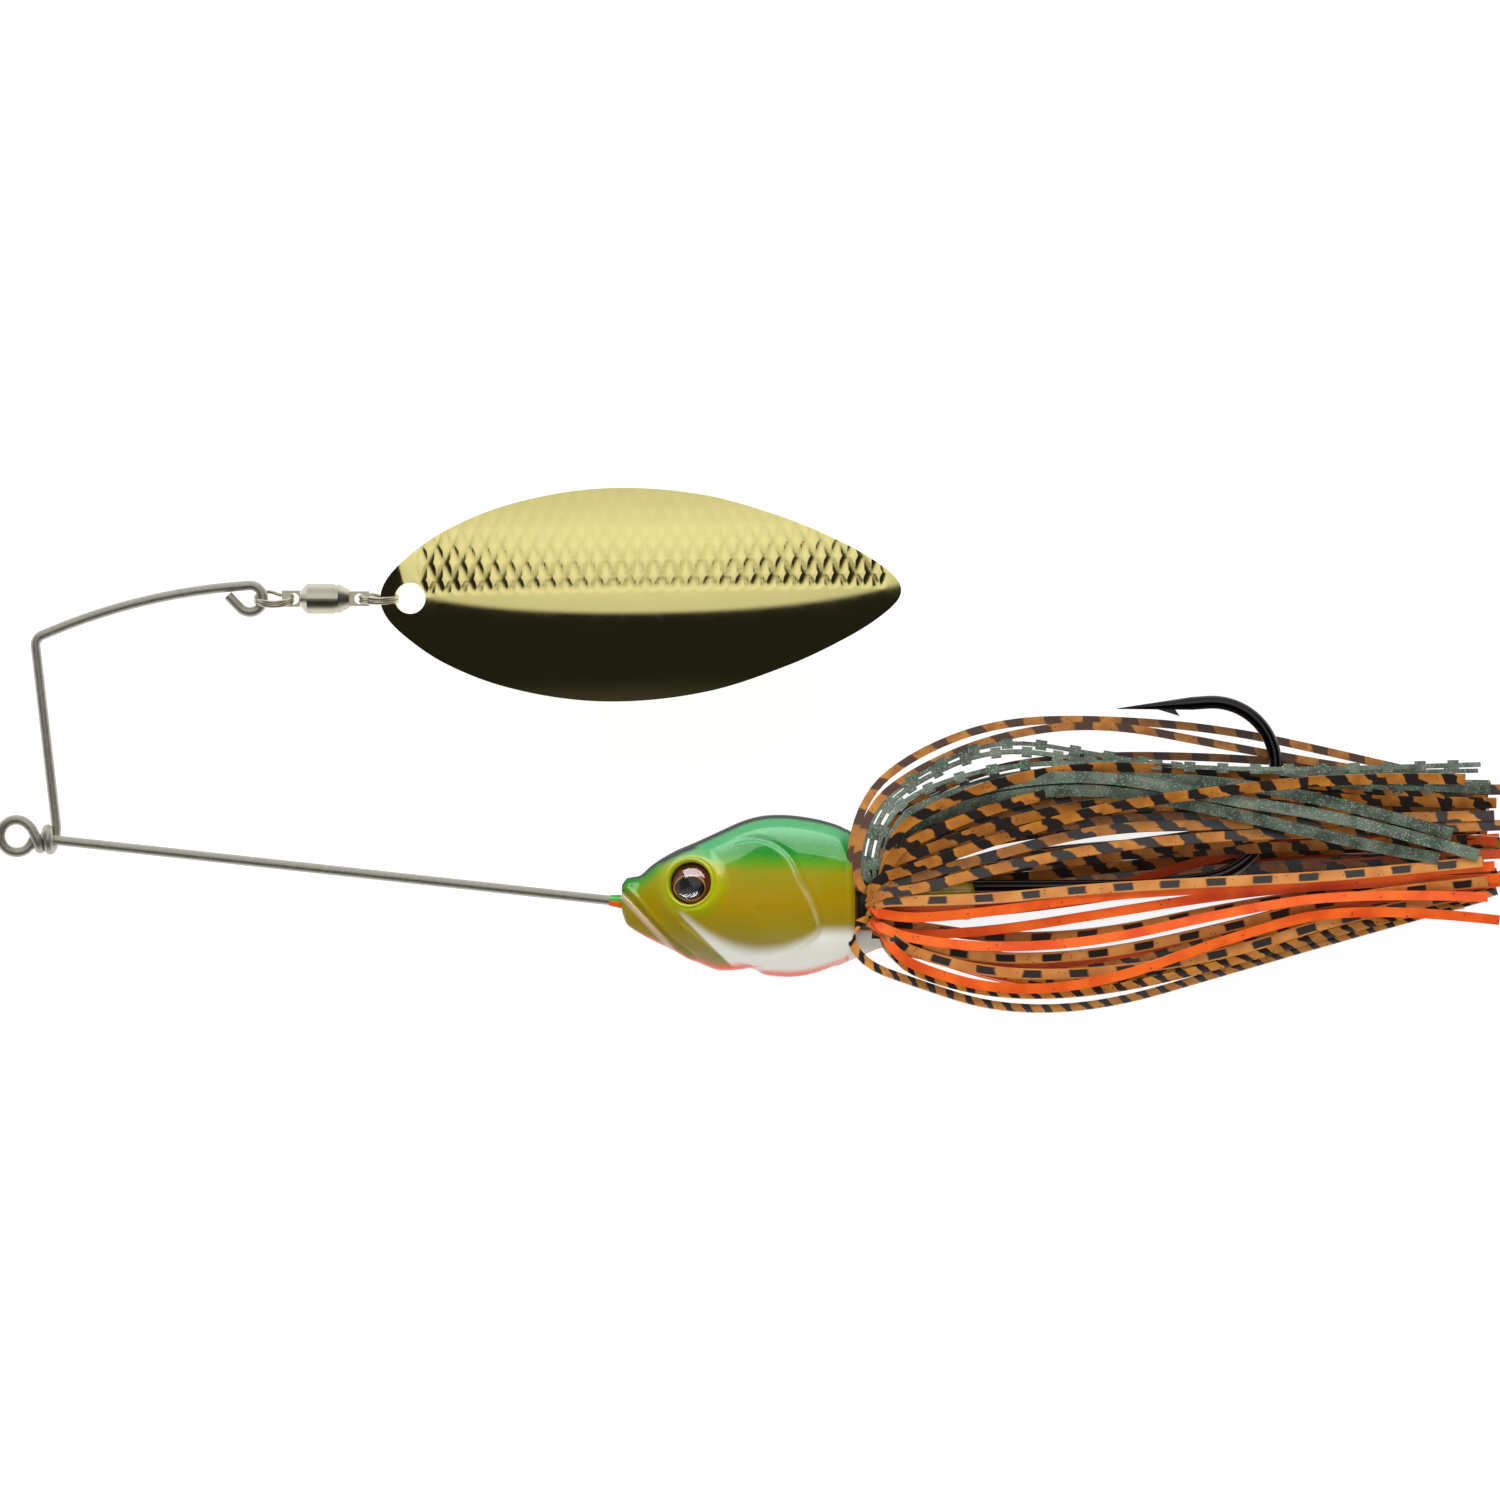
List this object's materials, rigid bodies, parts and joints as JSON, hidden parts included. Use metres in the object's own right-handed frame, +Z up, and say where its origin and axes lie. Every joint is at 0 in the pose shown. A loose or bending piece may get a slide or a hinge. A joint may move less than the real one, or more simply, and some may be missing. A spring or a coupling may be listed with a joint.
{
  "type": "spinnerbait",
  "caption": "Safety-pin wire fishing lure with a fish-shaped lead head, a single hook, a rubber skirt and a willow leaf blade that spins on a ball bearing swivel.",
  "frame": {"origin": "middle of the lure's box on the surface that it lies on", "axes": "+X back from the line tie to the skirt's tips, +Y from the belly side up to the blade, +Z up from the surface, across the wire's plane"},
  "size_m": [0.1456, 0.0498, 0.0111],
  "materials": {
    "wire": "bright stainless spring wire",
    "head_paint": "green back, gold flank and pearl belly under clear gloss",
    "hook": "black nickel",
    "collar": "black rubber",
    "skirt": "translucent silicone, amber with dark bars",
    "ring": "bright nickel",
    "swivel": "bright nickel",
    "balls": "polished steel",
    "blade": "polished gold plate over brass",
    "eye_foil": "printed foil",
    "eye_dome": "clear resin"
  },
  "bodies": {
    "lure": {"wire_frame": "wire", "head_casting": "head_paint", "hook": "hook", "skirt_gather": "skirt", "skirt_collar": "collar", "eye_foil_near": "eye_foil", "eye_dome_near": "eye_dome", "skirt_upper_near": "skirt", "skirt_middle_near": "skirt", "skirt_lower_near": "skirt", "eye_foil_far": "eye_foil", "eye_dome_far": "eye_dome", "skirt_upper_far": "skirt", "skirt_middle_far": "skirt", "skirt_lower_far": "skirt"},
    "front_ring": {"split_ring_front": "ring"},
    "swivel_shaft": {"swivel_shaft": "swivel"},
    "swivel_balls": {"swivel_balls": "balls"},
    "swivel_barrel": {"swivel_barrel": "swivel", "swivel_tail": "swivel"},
    "rear_ring": {"split_ring_rear": "ring"},
    "blade": {"blade": "blade"}
  },
  "joints": [
    {"name": "ring_swing", "type": "hinge", "parent": "lure", "child": "front_ring", "pos_m": [-0.04842, 0.01422, 0.00553], "axis": [0, 0, 1], "range_deg": [-5, 75]},
    {"name": "swivel_tilt", "type": "hinge", "parent": "front_ring", "child": "swivel_shaft", "pos_m": [-0.04609, 0.01422, 0.00553], "axis": [0, 0.9511, 0.309], "range_deg": [-30, 30]},
    {"name": "swivel_spin", "type": "hinge", "parent": "swivel_shaft", "child": "swivel_barrel", "pos_m": [-0.04262, 0.01422, 0.00553], "axis": [1, 0, 0], "continuous": true},
    {"name": "ball_orbit", "type": "hinge", "parent": "swivel_shaft", "child": "swivel_balls", "pos_m": [-0.04262, 0.01422, 0.00553], "axis": [1, 0, 0], "continuous": true},
    {"name": "rear_ring_swing", "type": "hinge", "parent": "swivel_barrel", "child": "rear_ring", "pos_m": [-0.0378, 0.01422, 0.00553], "axis": [0, 0, 1], "range_deg": [-5, 60]},
    {"name": "blade_swing", "type": "hinge", "parent": "rear_ring", "child": "blade", "pos_m": [-0.036, 0.01422, 0.00553], "axis": [0, 0.9903, 0.1392], "range_deg": [-40, 40]}
  ],
  "couplings": [
    {"joint": "ball_orbit", "follows": "swivel_spin", "ratio": 0.5}
  ]
}
